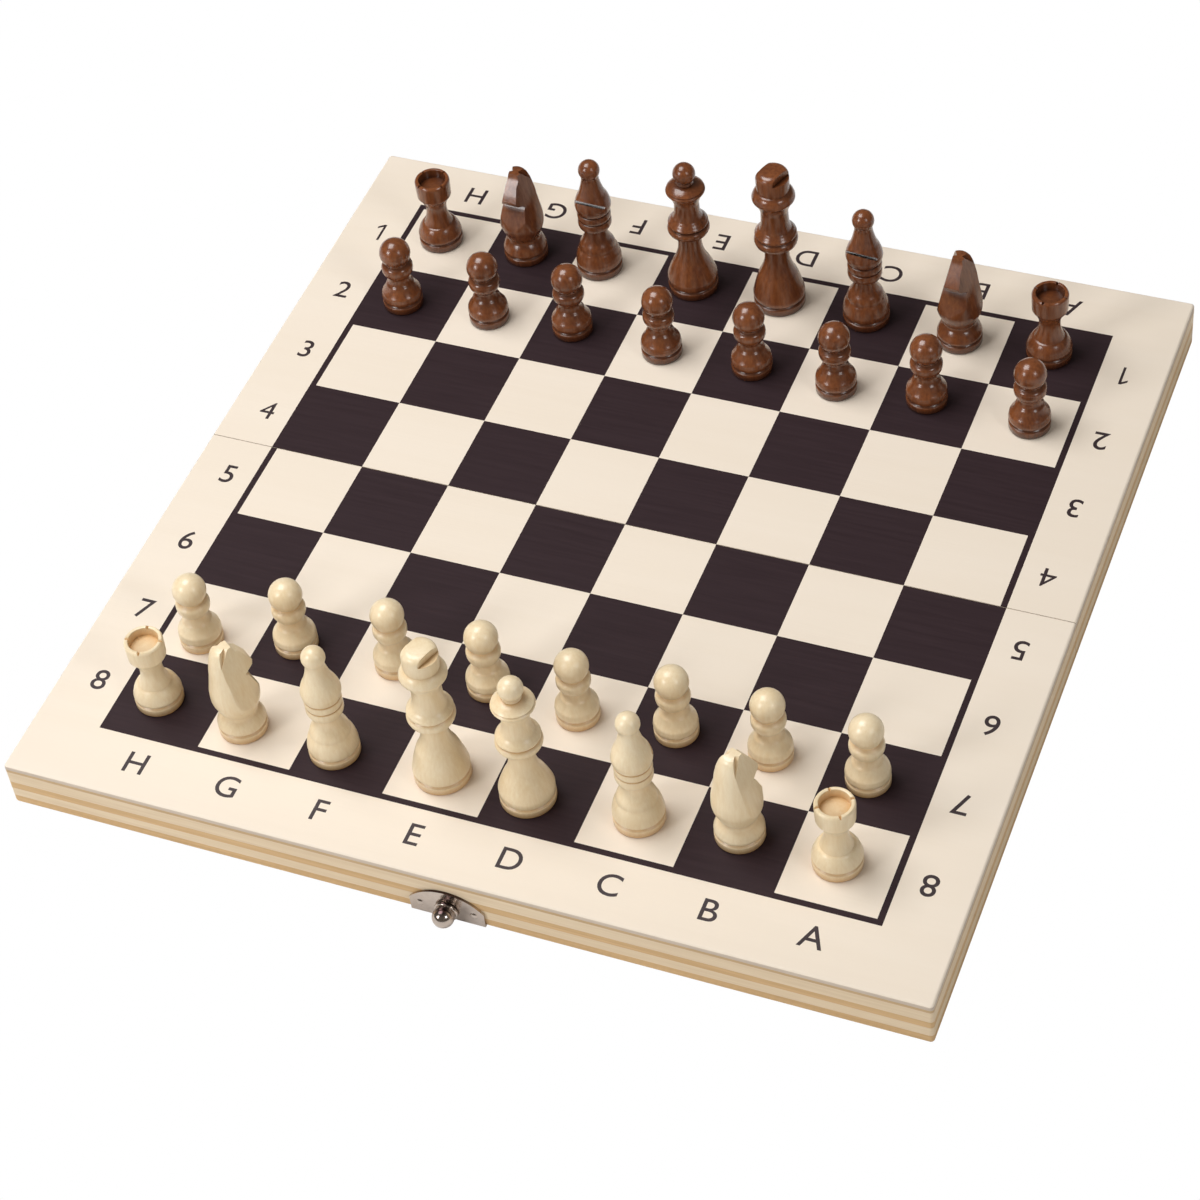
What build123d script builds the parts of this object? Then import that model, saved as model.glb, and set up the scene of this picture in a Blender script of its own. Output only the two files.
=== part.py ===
"""Folding chess set: a hinged box whose two halves open flat into a board, with its 32 turned men.

Millimetres. The origin is the middle of the fold line, on the plane of the rims that meet when the box
is shut. +X is to the right, +Y to the far side, +Z up through the playing surface. The near half lies
at -Y and carries the latch, the far half lies at +Y and turns on two butt hinges about the X axis.
"""

import os

from build123d import *

os.makedirs("parts", exist_ok=True)

# Board
square = 30.25
margin_x = 23.5
margin_y = 24.0
half_height = 17.0
panel_thickness = 2.7
rail_width = 8.0
corner_radius = 1.2
edge_round = 0.9
seam_gap = 0.3

# Butt hinges, set into the rims at the fold
hinge_length = 24.0
hinge_spacing = 180.0
leaf_width = 6.6
leaf_thickness = 0.8
leaf_sink = 0.1
barrel_radius = 1.4
pin_radius = 0.7
pin_clearance = 0.05
knuckle_count = 5
knuckle_gap = 0.15
leaf_clearance = 0.1
barrel_clearance = 0.3
screw_spacing = 14.0
screw_inset = 4.0
screw_head_radius = 1.5
screw_shank_radius = 0.75
screw_length = 8.0
fastener_clearance = 0.02

# Latch on the near edge and keeper on the far edge
latch_middle = -0.8
latch_width = 23.4
latch_end_height = 5.8
latch_height = 11.6
plate_thickness = 0.8
plate_rise = 0.3
catch_width = 6.0
catch_low = 1.8
catch_high = 7.4
catch_thickness = 0.6
catch_gap = 0.12
catch_travel = 1.5
knob_height = 4.2
knob_radius = 3.3
knob_stand = 3.6
knob_stem_radius = 1.2
collar_radius = 3.75
collar_thickness = 1.1
keeper_height = 8.4
tab_width = 4.4
tab_reach = 1.3
tab_setback = 0.15
tab_clearance = 0.3
lip_width = 5.2
lip_stand = 3.6
lip_low = 1.6
lip_thickness = 1.2
nail_spacing = 16.9
nail_height = 4.4
nail_head_radius = 1.3
nail_head_height = 0.55
nail_shank_radius = 0.5
nail_length = 6.5

# Men. Each template lists steps of (radius, height, bow) from just above the foot upwards, in template
# units. A bow bends the run that ends at its step outwards, or inwards with a minus sign.
template_unit = 1.0
foot_band = 2.8
foot_round = 0.5
groove_depth = 0.7
groove_floor = 0.3
groove_width = 1.2

pawn_foot_radius = 6.75
pawn_ball_radius = 5.2
pawn_height = 27.7
pawn_template = [
    (6.6, 5.6, 0.1),
    (6.1, 6.9, 0.15),
    (4.6, 9.8, -0.1),
    (3.45, 12.2, -0.3),
    (3.45, 12.8, 0),
    (4.2, 13.6, -0.1),
    (5.25, 16.6, 0.35),
    (4.4, 18.3, 0.3),
    (3.9, 18.7, 0),
]

rook_foot_radius = 7.45
rook_bowl_radius = 4.5
rook_bowl_depth = 3.0
rook_nick_width = 0.9
rook_nick_depth = 0.8
rook_height = 27.2
rook_template = [
    (7.2, 5.2, 0.1),
    (5.5, 8.6, 0.25),
    (4.9, 8.9, 0),
    (3.5, 14.0, -0.25),
    (3.5, 16.0, 0),
    (5.5, 20.3, -0.2),
    (5.8, 21.0, 0.1),
    (5.95, 26.2, 0),
]

bishop_foot_radius = 7.75
bishop_ball_radius = 3.6
bishop_height = 46.0
bishop_template = [
    (7.5, 6.2, 0.1),
    (6.5, 9.4, 0.15),
    (6.1, 9.9, 0),
    (5.2, 12.8, 0.25),
    (3.9, 15.8, -0.15),
    (3.7, 17.9, 0),
    (4.9, 18.9, -0.1),
    (5.5, 19.6, 0.1),
    (5.5, 22.2, 0.2),
    (5.0, 22.5, 0),
    (5.5, 22.8, 0),
    (5.5, 25.2, 0.2),
    (5.0, 25.5, 0),
    (5.6, 25.9, 0),
    (6.1, 28.4, 0.1),
    (4.5, 33.0, 0.25),
    (2.95, 38.8, -0.15),
]
slit_reach = 6.0
slit_width = 0.75
slit_depth = 5.2
slit_height = 31.0
slit_angle = 42.0

queen_foot_radius = 8.4
queen_ball_radius = 3.75
queen_height = 52.4
queen_template = [
    (8.35, 6.0, 0),
    (6.2, 11.6, 0.1),
    (4.7, 15.0, -0.1),
    (4.0, 18.5, -0.1),
    (3.8, 23.0, 0),
    (6.4, 24.8, -0.3),
    (6.7, 25.2, 0.1),
    (6.6, 27.3, 0.4),
    (5.9, 27.7, 0),
    (6.4, 28.1, 0),
    (6.3, 29.3, 0.35),
    (5.0, 30.9, 0.1),
    (4.2, 34.6, -0.25),
    (4.1, 36.6, 0),
    (6.3, 41.6, -0.25),
    (6.5, 42.3, 0.1),
    (6.1, 42.7, 0),
    (6.2, 43.1, 0),
    (2.7, 44.9, 0.3),
    (2.9, 45.3, 0.1),
    (2.6, 45.7, 0),
]

king_foot_radius = 8.6
king_head_radius = 5.4
king_step_width = 2.0
king_step_height = 2.8
king_height = 56.0
king_template = [
    (8.5, 5.6, 0.1),
    (6.4, 13.0, 0.1),
    (4.7, 17.0, -0.1),
    (4.1, 20.0, -0.1),
    (3.9, 24.4, 0),
    (6.7, 26.2, -0.3),
    (6.9, 26.6, 0.1),
    (6.8, 28.9, 0.4),
    (6.4, 29.25, 0),
    (6.7, 29.6, 0),
    (6.5, 30.9, 0.35),
    (5.3, 32.3, 0.1),
    (4.6, 36.0, -0.2),
    (4.5, 39.4, 0),
    (6.85, 44.7, -0.3),
    (7.05, 45.4, 0.1),
    (6.9, 46.2, 0.1),
    (5.3, 48.4, 0.3),
]

knight_foot_radius = 7.45
knight_height = 36.8
knight_template = [
    (7.1, 5.4, 0.1),
    (5.5, 8.2, 0.2),
    (5.3, 9.2, 0),
    (7.2, 13.8, 0.1),
    (7.4, 17.0, 0.15),
]
mane_template = [
    (7.1, 20.0, 0.1),
    (6.1, 25.6, 0),
    (5.4, 30.0, 0.1),
    (4.2, 34.4, 0.15),
    (2.4, 36.5, 0.3),
]
cheek_top_half_width = 2.4
cheek_bottom_half_width = 7.3
cheek_bottom_height = 13.6
nose_top_reach = 1.6
nose_scoop_reach = 1.9
nose_scoop_height = 34.0
nose_bridge_reach = 3.0
nose_bridge_height = 31.2
muzzle_reach = 6.9
muzzle_top_height = 27.4
muzzle_bottom_height = 26.0
jaw_reach = 4.3
jaw_height = 23.6
chest_reach = 7.4
chest_height = 18.4
ear_front = 0.5
ear_back = -1.6
ear_foot_reach = -3.5
ear_foot_height = 30.4
ear_depth = 1.4

board_half_x = 4 * square + margin_x
board_half_y = 4 * square + margin_y
rail_height = half_height - panel_thickness


def write(name, shape):
    export_step(shape, f"parts/{name}.step")


def box_between(low, high):
    """Block from its lowest corner to its highest."""
    size = [b - a for a, b in zip(low, high)]
    return Pos(*low) * Box(*size, align=(Align.MIN, Align.MIN, Align.MIN))


def rod(radius, start, end):
    """Round bar between two points."""
    start = Vector(*start)
    run = Vector(*end) - start
    return Plane(origin=start, z_dir=run) * extrude(Circle(radius), run.length)


def cone(bottom_radius, top_radius, start, end):
    """Tapered bar between two points."""
    start = Vector(*start)
    run = Vector(*end) - start
    taper = Cone(bottom_radius, top_radius, run.length, align=(Align.CENTER, Align.CENTER, Align.MIN))
    return Plane(origin=start, z_dir=run) * taper


def far_side(shape):
    """The same piece on the far half: its mirror image across the fold."""
    return mirror(shape, about=Plane.XZ)


# Board


def half_blank(bottom, top):
    """Slab of one half's outline, with rounded outer corners."""
    slab = box_between((-board_half_x, -board_half_y, bottom), (board_half_x, -seam_gap / 2, top))
    corners = slab.edges().filter_by(Axis.Z).group_by(Axis.Y)[0]
    return fillet(corners, corner_radius)


def outer_edges(shape, highest):
    """Edges of the top or the bottom face that don't lie at the fold."""
    face = shape.faces().sort_by(Axis.Z)[-1 if highest else 0]
    return [edge for edge in face.edges() if edge.center().Y < -seam_gap]


def panel():
    slab = half_blank(rail_height, half_height)
    return fillet(outer_edges(slab, True), edge_round)


def frame():
    """The four rails of one half before they are cut apart."""
    slab = half_blank(0, rail_height)
    slab = fillet(outer_edges(slab, False), edge_round)
    inside = box_between(
        (-board_half_x + rail_width, -board_half_y + rail_width, -1),
        (board_half_x - rail_width, -seam_gap / 2 - rail_width, rail_height + 1),
    )
    return slab - inside


def mitred(ring, points):
    """The part of the ring inside an outline with mitred ends."""
    return ring & extrude(Polygon(*points, align=None), rail_height)


def rails():
    """Outer, left, right and fold rail of the near half."""
    ring = frame()
    x, y, w, s = board_half_x, board_half_y, rail_width, seam_gap / 2
    outline = {
        "outer_rail": [(-x, -y), (x, -y), (x - w, w - y), (w - x, w - y)],
        "right_rail": [(x, -y), (x, -s), (x - w, -s - w), (x - w, w - y)],
        "fold_rail": [(x, -s), (-x, -s), (w - x, -s - w), (x - w, -s - w)],
        "left_rail": [(-x, -s), (-x, -y), (w - x, w - y), (w - x, -s - w)],
    }
    return {name: mitred(ring, points) for name, points in outline.items()}


# Hinges

leaf_top = leaf_sink + leaf_thickness
knuckle_length = hinge_length / knuckle_count


def hinge_places():
    return {"left_hinge": -hinge_spacing / 2, "right_hinge": hinge_spacing / 2}


def screw_places(x):
    return [(x + side * screw_spacing / 2, -seam_gap / 2 - screw_inset) for side in (-1, 1)]


def screw(x, y, gap=0.0):
    """Countersunk screw driven up into a rim, or with a gap its hole."""
    head_height = screw_head_radius - screw_shank_radius
    head = cone(screw_head_radius + gap, screw_shank_radius + gap, (x, y, leaf_sink), (x, y, leaf_sink + head_height))
    return head + rod(screw_shank_radius + gap, (x, y, leaf_sink), (x, y, screw_length))


def barrel(x, radius, extra=0.0):
    return rod(radius, (x - hinge_length / 2 - extra, 0, 0), (x + hinge_length / 2 + extra, 0, 0))


def leaf(x, first_knuckle):
    """Leaf on the near side, with every second knuckle from the first given."""
    low, high = x - hinge_length / 2, x + hinge_length / 2
    plate = box_between((low, -leaf_width, leaf_sink), (high, 0, leaf_top))
    body = plate + barrel(x, barrel_radius)
    bite = barrel_radius + barrel_clearance
    for index in range(1 - first_knuckle, knuckle_count, 2):
        start = low + index * knuckle_length - (knuckle_gap if index else 1)
        end = low + (index + 1) * knuckle_length + (knuckle_gap if index < knuckle_count - 1 else 1)
        body -= box_between((start, -bite, -bite), (end, bite, bite))
    body -= barrel(x, pin_radius + pin_clearance, 1)
    for place in screw_places(x):
        body -= screw(*place, fastener_clearance)
    return body


def hinge_pocket(x):
    """What is cut out of a fold rail to let one hinge in."""
    low, high = x - hinge_length / 2 - leaf_clearance, x + hinge_length / 2 + leaf_clearance
    pocket = box_between((low, -leaf_width - leaf_clearance, -1), (high, 0, leaf_top))
    pocket += barrel(x, barrel_radius + barrel_clearance, barrel_clearance)
    for place in screw_places(x):
        pocket += screw(*place, fastener_clearance)
    return pocket


# Latch and keeper


def on_edge(x, stand, height):
    """Point on the near edge, by its distance from the latch's middle, its stand out of the wood and its height."""
    return (latch_middle + x, -board_half_y - stand, height)


def edge_block(x_low, x_high, stand_low, stand_high, low, high):
    return box_between(on_edge(x_low, stand_high, low), on_edge(x_high, stand_low, high))


def arched_plate(height):
    """Nailed plate with an arched upper edge."""
    half = latch_width / 2
    foot = Polyline((-half, latch_end_height), (-half, plate_rise), (half, plate_rise), (half, latch_end_height))
    arch = ThreePointArc((half, latch_end_height), (0, height), (-half, latch_end_height))
    face = make_face([*foot.edges(), arch])
    plate = Pos(*on_edge(0, 0, 0)) * extrude(Plane.XZ * face, plate_thickness)
    for side in (-1, 1):
        plate -= nail(side * nail_spacing / 2, fastener_clearance)
    return plate


def nail(x, gap=0.0):
    """Round-headed nail through a plate into the wood, or with a gap its hole."""
    shank = rod(nail_shank_radius + gap, on_edge(x, plate_thickness, nail_height), on_edge(x, -nail_length, nail_height))
    if gap:
        return shank
    centre = nail_head_height - (nail_head_radius**2 + nail_head_height**2) / (2 * nail_head_height)
    dome = Pos(*on_edge(x, plate_thickness + centre, nail_height)) * Sphere(nail_head_height - centre)
    reach = nail_head_radius * 2
    low, high = nail_height - reach, nail_height + reach
    return shank + (dome & edge_block(x - reach, x + reach, plate_thickness, plate_thickness + reach, low, high))


def nails():
    return [nail(side * nail_spacing / 2) for side in (-1, 1)]


def knob_slot(radius, start, end):
    """Upright slot through a plate, as tall as the knob's stem and its travel need."""
    low, high = knob_height, knob_height + catch_travel
    slot = edge_block(-radius, radius, start, end, low, high)
    for height in (low, high):
        slot += rod(radius, on_edge(0, start, height), on_edge(0, end, height))
    return slot


def latch_plate():
    """Arched plate with a slot for the knob's stem and a notch for the keeper's tab, both behind the collar."""
    notch = tab_width / 2 + tab_clearance
    plate = arched_plate(latch_height) - knob_slot(knob_stem_radius + catch_gap, -1, plate_thickness + 1)
    return plate - edge_block(-notch, notch, -1, plate_thickness + 1, -1, tab_reach + tab_clearance)


def catch():
    """Strip that slides up and down behind the plate."""
    half = catch_width / 2
    strip = edge_block(-half, half, -catch_gap - catch_thickness, -catch_gap, catch_low, catch_high)
    return strip - stem(fastener_clearance)


def catch_mortise():
    """What is cut out of the outer rail to let the catch slide."""
    half = catch_width / 2 + catch_gap
    depth = catch_thickness + 2 * catch_gap
    return edge_block(-half, half, -depth, 1, -1, catch_high + catch_travel + catch_gap)


def stem(gap=0.0):
    back = -catch_gap - catch_thickness
    return rod(knob_stem_radius + gap, on_edge(0, back, knob_height), on_edge(0, knob_stand, knob_height))


def knob():
    """Ball knob with a round-edged collar that slides on the plate, and its stem."""
    back = plate_thickness + catch_gap
    collar = rod(collar_radius, on_edge(0, back, knob_height), on_edge(0, back + collar_thickness, knob_height))
    collar = fillet(collar.edges(), collar_thickness * 0.4)
    ball = Pos(*on_edge(0, knob_stand, knob_height)) * Sphere(knob_radius)
    reach = 2 * knob_radius
    outside = edge_block(-reach, reach, back + collar_thickness / 2, reach + knob_stand, -reach, knob_height + reach)
    return collar + (ball & outside) + stem()


def keeper_plate():
    """Arched plate with a tab that enters the latch plate when the box is shut and a lip to open it by.

    Drawn on the near edge.
    """
    tab = edge_block(-tab_width / 2, tab_width / 2, tab_setback, plate_thickness, -tab_reach, plate_rise + 1)
    lip = edge_block(-lip_width / 2, lip_width / 2, plate_thickness / 2, lip_stand, lip_low, lip_low + lip_thickness)
    front = lip.edges().filter_by(Axis.X).group_by(Axis.Y)[0]
    lip = fillet(front, lip_thickness * 0.45)
    return arched_plate(keeper_height) + tab + lip


# Chessmen, each drawn on its own axis with its foot at height 0


def turned(steps, ball_radius=0.0):
    """Solid turned from steps of (radius, height, bow).

    With a ball radius the last step is the neck under a ball.
    """
    run, here = [], Vector(0, 0)
    for radius, height, bow in steps:
        there = Vector(radius, height)
        run.append(SagittaArc(here, there, -bow) if bow else Line(here, there))
        here = there
    if ball_radius:
        centre = here.Y + (ball_radius**2 - here.X**2) ** 0.5
        run.append(ThreePointArc(here, (ball_radius, centre), (0, centre + ball_radius)))
        here = Vector(0, centre + ball_radius)
    run.append(Line(here, (0, 0)))
    return revolve(Plane.XZ * make_face(run), Axis.Z)


def foot(radius):
    """Banded foot with its groove, shared by all the men."""
    floor = foot_band + (groove_width - groove_floor) / 2
    return [
        (radius - foot_round, 0, 0),
        (radius, foot_round, foot_round * 0.2),
        (radius, foot_band, 0),
        (radius - groove_depth, floor, 0),
        (radius - groove_depth, floor + groove_floor, 0),
        (radius - foot_round * 0.1, foot_band + groove_width, 0),
    ]


def from_template(template):
    return [tuple(value * template_unit for value in step) for step in template]


def under_ball(steps, ball_radius, height):
    """The steps and one more, up to where a ball that tops out at a given height meets the neck."""
    neck = steps[-1][0]
    return [*steps, (neck, height - ball_radius - (ball_radius**2 - neck**2) ** 0.5, 0)]


def balled(foot_radius, template, ball_radius, height):
    """Man that ends in a ball."""
    steps = [*foot(foot_radius), *from_template(template)]
    return turned(under_ball(steps, ball_radius, height), ball_radius)


def pawn():
    return balled(pawn_foot_radius, pawn_template, pawn_ball_radius, pawn_height)


def queen():
    return balled(queen_foot_radius, queen_template, queen_ball_radius, queen_height)


def bishop():
    body = balled(bishop_foot_radius, bishop_template, bishop_ball_radius, bishop_height)
    slab = Box(2 * slit_depth, 4 * bishop_foot_radius, slit_width)
    return body - Pos(slit_reach, 0, slit_height) * Rot(0, -slit_angle, 0) * slab


def rook():
    steps = [*foot(rook_foot_radius), *from_template(rook_template)]
    rim = steps[-1][0]
    floor = rook_height - rook_bowl_depth
    lip = rim - rook_bowl_radius
    steps += [
        (rim - lip * 0.3, rook_height, lip * 0.1),
        (rook_bowl_radius + lip * 0.1, rook_height, 0),
        (rook_bowl_radius - lip * 0.1, rook_height - lip * 0.2, lip * 0.05),
        (rook_bowl_radius - lip * 0.2, floor, 0),
        (0, floor, 0),
    ]
    body = turned(steps)
    reach = 2 * rim
    for angle in range(0, 360, 90):
        nick = extrude(
            Plane.YZ * Polygon((-rook_nick_width / 2, 0), (rook_nick_width / 2, 0), (0, -rook_nick_depth), align=None),
            reach,
        )
        body -= Rot(0, 0, angle) * Pos(0, 0, rook_height) * nick
    return body


def king():
    head = king_head_radius
    steps = [
        *foot(king_foot_radius),
        *from_template(king_template),
        (head, king_height - head * 0.4, head * 0.02),
        (head * 0.82, king_height - head * 0.08, head * 0.05),
        (head * 0.6, king_height, head * 0.01),
        (0, king_height, 0),
    ]
    body = turned(steps)
    reach = 2 * head
    for side in (-1, 1):
        step = Box(reach, 2 * reach, 2 * king_step_height)
        body -= Pos(side * (head - king_step_width + reach / 2), 0, king_height) * step
    return body


def across(points, reach):
    """Solid through the knight from side to side, by its outline seen from the side."""
    return extrude(Plane.XZ * Polygon(*points, align=None), reach, both=True)


def cheek_half_width(height):
    """Half width of the knight's head at a height."""
    rise = (height - cheek_bottom_height) / (knight_height - cheek_bottom_height)
    return cheek_bottom_half_width + (cheek_top_half_width - cheek_bottom_half_width) * rise


def ear_groove(side):
    """Three-sided groove down one cheek, widest and deepest at the top of the head."""
    top = knight_height * 1.02
    face = cheek_half_width(top)
    middle, spread = (ear_front + ear_back) / 2, ear_front - ear_back
    outside = side * (face + ear_depth)
    apex = Vector(ear_foot_reach, side * cheek_half_width(ear_foot_height), ear_foot_height)
    front, back = Vector(middle + spread, outside, top), Vector(middle - spread, outside, top)
    inner = Vector(middle, side * (face - ear_depth), top)
    outer_apex = apex + Vector(0, side * ear_depth, 0)
    corners = [apex, front, back, inner, outer_apex]
    faces = [(0, 1, 3), (0, 3, 2), (1, 2, 3), (0, 4, 1), (0, 2, 4), (4, 2, 1)]
    shell = Shell([Face(Wire.make_polygon([corners[i] for i in triple])) for triple in faces])
    return Solid(shell)


def knight():
    """Turned blank carved into a horse's head that looks along +X."""
    base = [*foot(knight_foot_radius), *from_template(knight_template)]
    chest = base[-1][0]
    reach = 3 * chest
    blank = turned([*base, (chest, knight_height, 0), (0, knight_height, 0)])
    mane = turned([*base, *from_template(mane_template), (0, knight_height, 0)])
    behind = Box(reach, 2 * reach, knight_height, align=(Align.MAX, Align.CENTER, Align.MIN))
    blank -= Pos(0, 0, base[-1][1]) * behind - mane
    for side in (-1, 1):
        outline = Polygon(
            (side * cheek_bottom_half_width, cheek_bottom_height),
            (side * cheek_half_width(knight_height + 1), knight_height + 1),
            (side * reach, knight_height + 1),
            (side * reach, cheek_bottom_height),
            align=None,
        )
        blank -= extrude(Plane.YZ * outline, reach, both=True)
    nose = [
        (nose_top_reach, knight_height + 1),
        (nose_top_reach, knight_height),
        (nose_scoop_reach, nose_scoop_height),
        (nose_bridge_reach, nose_bridge_height),
        (muzzle_reach, muzzle_top_height),
        (muzzle_reach, muzzle_bottom_height),
        (jaw_reach, jaw_height),
        (chest_reach, chest_height),
        (reach, chest_height),
        (reach, knight_height + 1),
    ]
    blank -= across(nose, reach)
    for side in (-1, 1):
        blank -= ear_groove(side)
    return blank


# Where each man stands: its kind, file, rank row, how far it stands off the middle of its square, and its turn
near_men = [
    ("rook", "h", -3.5, -4.2, -1.5, 12),
    ("knight", "g", -3.5, -5.0, -3.8, 47),
    ("bishop", "f", -3.5, -4.8, -4.5, 120),
    ("king", "", -3.5, -0.8, -2.9, -20),
    ("queen", "", -3.5, -3.6, -3.6, 0),
    ("bishop", "c", -3.5, -0.2, -1.3, 85),
    ("knight", "b", -3.5, -0.8, 1.5, 75),
    ("rook", "a", -3.5, -1.4, 0.3, 35),
    ("pawn", "h", -2.5, -2.4, -6.1, 0),
    ("pawn", "g", -2.5, -3.4, 0.4, 0),
    ("pawn", "f", -2.5, -0.6, 1.7, 0),
    ("pawn", "e", -2.5, -0.4, 1.7, 0),
    ("pawn", "d", -2.5, -0.9, -0.9, 0),
    ("pawn", "c", -2.5, -1.0, 1.7, 0),
    ("pawn", "b", -2.5, -1.8, 1.3, 0),
    ("pawn", "a", -2.5, -2.2, 0.5, 0),
]
far_men = [
    ("rook", "h", 3.5, -2.8, 2.2, 60),
    ("knight", "g", 3.5, -1.9, 3.4, 258),
    ("bishop", "f", 3.5, -5.4, 4.0, 252),
    ("queen", "", 3.5, -1.8, 3.7, 0),
    ("king", "", 3.5, -1.8, 4.4, -20),
    ("bishop", "c", 3.5, -1.8, 4.0, 252),
    ("knight", "b", 3.5, 0.3, 2.2, 265),
    ("rook", "a", 3.5, -0.3, 3.1, 80),
    ("pawn", "h", 2.5, -2.8, -0.5, 0),
    ("pawn", "g", 2.5, -2.0, 0.7, 0),
    ("pawn", "f", 2.5, -3.0, 2.8, 0),
    ("pawn", "e", 2.5, -0.8, 0.7, 0),
    ("pawn", "d", 2.5, 0.0, 1.5, 0),
    ("pawn", "c", 2.5, -1.0, 0.2, 0),
    ("pawn", "b", 2.5, -1.6, 2.5, 0),
    ("pawn", "a", 2.5, 2.5, 0.8, 0),
]
file_places = {letter: 3.5 - index for index, letter in enumerate("abcdefgh")}
middle_files = {("white", "king"): "e", ("white", "queen"): "d", ("brown", "king"): "d", ("brown", "queen"): "e"}


def write_men(colour, men):
    shapes = {"pawn": pawn(), "rook": rook(), "knight": knight(), "bishop": bishop(), "queen": queen(), "king": king()}
    for kind, letter, row, off_x, off_y, turn in men:
        column = file_places[letter or middle_files[colour, kind]]
        place = Pos(column * square + off_x, row * square + off_y, half_height) * Rot(0, 0, turn)
        name = f"{colour}_{kind}_{letter}" if letter else f"{colour}_{kind}"
        write(name, place * shapes[kind])


def write_board():
    near = rails()
    for x in hinge_places().values():
        near["fold_rail"] -= hinge_pocket(x)
    near["panel"] = panel()
    for side in (-1, 1):
        near["outer_rail"] -= nail(side * nail_spacing / 2, fastener_clearance)
    for name, shape in near.items():
        write(f"far_{name}", far_side(shape))
    near["outer_rail"] -= catch_mortise()
    for name, shape in near.items():
        write(f"near_{name}", shape)


def write_hinges():
    screws = []
    for name, x in hinge_places().items():
        write(f"{name}_near_leaf", leaf(x, 0))
        write(f"{name}_far_leaf", far_side(leaf(x, 1)))
        write(f"{name}_pin", barrel(x, pin_radius))
        screws += [screw(*place) for place in screw_places(x)]
    write("near_hinge_screws", Compound(children=screws))
    write("far_hinge_screws", Compound(children=[far_side(piece) for piece in screws]))


def write_latch():
    write("latch_plate", latch_plate())
    write("latch_catch", catch())
    write("latch_knob", knob())
    write("latch_nails", Compound(children=nails()))
    write("keeper_plate", far_side(keeper_plate()))
    write("keeper_nails", Compound(children=[far_side(piece) for piece in nails()]))


write_board()
write_hinges()
write_latch()
write_men("white", near_men)
write_men("brown", far_men)
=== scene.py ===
# %% [markdown]
# A folding chess set, dressed for its picture.
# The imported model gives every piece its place: two shallow trays of banded ply, a latch, two small hinges
# and thirty-two turned men. Here the trays get their print and their wood, and the men are turned again
# with smooth curves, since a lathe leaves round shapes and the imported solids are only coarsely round.

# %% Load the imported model
from math import asin, cos, pi, radians, sin

import bmesh
import bpy
from mathutils import Matrix, Vector


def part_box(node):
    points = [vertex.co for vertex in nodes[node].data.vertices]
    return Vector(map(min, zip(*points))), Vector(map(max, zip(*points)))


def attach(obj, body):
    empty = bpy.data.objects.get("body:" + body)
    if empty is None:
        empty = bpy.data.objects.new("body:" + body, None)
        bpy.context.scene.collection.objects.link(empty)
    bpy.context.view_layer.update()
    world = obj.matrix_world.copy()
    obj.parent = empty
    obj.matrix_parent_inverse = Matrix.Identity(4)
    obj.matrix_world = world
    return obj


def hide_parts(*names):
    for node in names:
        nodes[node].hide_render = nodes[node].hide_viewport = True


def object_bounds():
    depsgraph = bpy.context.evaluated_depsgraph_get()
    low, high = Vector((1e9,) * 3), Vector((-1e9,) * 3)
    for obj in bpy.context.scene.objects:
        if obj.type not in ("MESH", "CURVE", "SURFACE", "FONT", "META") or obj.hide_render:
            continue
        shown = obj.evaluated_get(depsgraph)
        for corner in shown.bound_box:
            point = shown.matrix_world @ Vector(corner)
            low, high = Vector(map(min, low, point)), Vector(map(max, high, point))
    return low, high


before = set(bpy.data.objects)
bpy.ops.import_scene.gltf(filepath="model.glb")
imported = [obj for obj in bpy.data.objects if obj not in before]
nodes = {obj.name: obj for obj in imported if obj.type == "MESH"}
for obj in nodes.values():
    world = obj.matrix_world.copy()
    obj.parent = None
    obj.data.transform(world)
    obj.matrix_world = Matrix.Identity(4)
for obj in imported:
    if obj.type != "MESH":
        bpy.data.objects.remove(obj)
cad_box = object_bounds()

mm = 0.001
scene = bpy.context.scene

# %% [markdown]
# The camera stands to the right of the latch and looks down over the board.
# Its place and its lens were worked out from the corners of the printed squares, which are all one size, so
# the picture's own perspective fixes it.

# %% Camera
camera_place = Vector((0.29365, -0.60514, 0.72386))
camera_right = Vector((0.9291, 0.3587, -0.0901))
camera_down = Vector((0.2114, -0.7150, -0.6664))
camera_forward = Vector((-0.3034, 0.6002, -0.7401))

camera_data = bpy.data.cameras.new("camera")
camera_data.sensor_width = 36
camera_data.lens = 93.68
camera_data.clip_start = 0.05
camera = bpy.data.objects.new("camera", camera_data)
scene.collection.objects.link(camera)
turn = Matrix((camera_right, -camera_down, -camera_forward)).transposed()
camera.matrix_world = Matrix.Translation(camera_place) @ turn.to_4x4()
scene.camera = camera
print("camera is", round(camera_place.length, 3), "m from the middle of the fold")

# %% [markdown]
# The light is a studio's: a broad soft lamp overhead and a little to the left, a smaller one at the front left
# and a weaker one at the right. They give each bulge of the men a highlight on both sides and a soft shadow to
# the right. The room around them is dim and warm. The floor is white where the camera sees it, and pale grey to
# the light, so that it keeps the set's shadow and lights the box's sides from below.

# %% Light and floor
scene.view_settings.view_transform = "Standard"


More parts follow.
